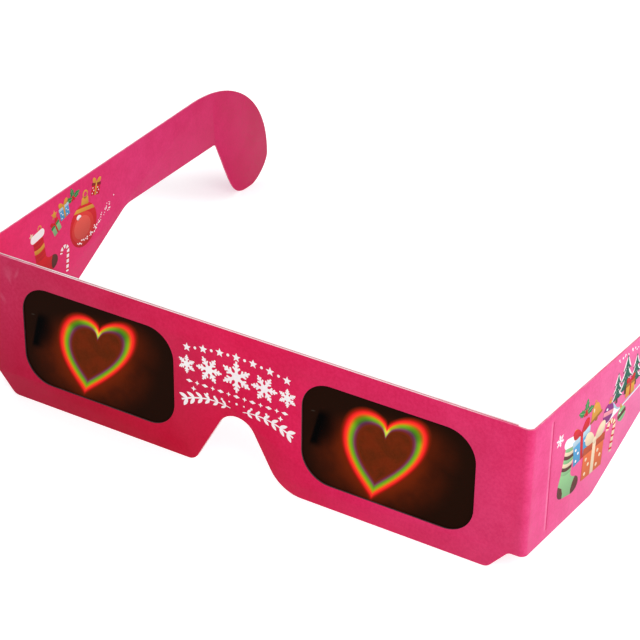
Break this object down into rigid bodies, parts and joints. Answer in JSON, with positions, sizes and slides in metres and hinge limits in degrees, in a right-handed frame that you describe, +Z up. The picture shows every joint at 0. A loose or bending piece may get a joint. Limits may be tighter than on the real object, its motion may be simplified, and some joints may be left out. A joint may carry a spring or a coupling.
{
  "type": "diffraction glasses",
  "caption": "Folding paperboard glasses with a two-ply front, diffraction film in rounded windows, a nose cut-out and creased temples with ear hooks.",
  "frame": {"origin": "on the table, in the middle of the open glasses' footprint", "axes": "+X towards the wearer's left, +Y from the front board back to the ears, +Z up"},
  "size_m": [0.1536, 0.1294, 0.036],
  "materials": {
    "printed_board": "satin print on both faces, white cut edges",
    "diffraction_film": "dark glossy film with a coloured diffraction figure",
    "glue": "dried paper glue"
  },
  "bodies": {
    "front": {"front_board": "printed_board", "back_board": "printed_board", "glue_sheet": "glue", "left_film": "diffraction_film", "right_film": "diffraction_film", "left_bend": "printed_board", "right_bend": "printed_board"},
    "left_arm": {"left_temple": "printed_board"},
    "right_arm": {"right_temple": "printed_board"}
  },
  "joints": [
    {"name": "left_temple_fold", "type": "hinge", "parent": "front", "child": "left_arm", "pos_m": [0.06929, -0.06392, 0.018], "axis": [0, 0, 1], "range_deg": [-87, 93], "deforming": ["left_bend"]},
    {"name": "right_temple_fold", "type": "hinge", "parent": "front", "child": "right_arm", "pos_m": [-0.06929, -0.06392, 0.018], "axis": [0, 0, -1], "range_deg": [-87, 89], "deforming": ["right_bend"]}
  ]
}
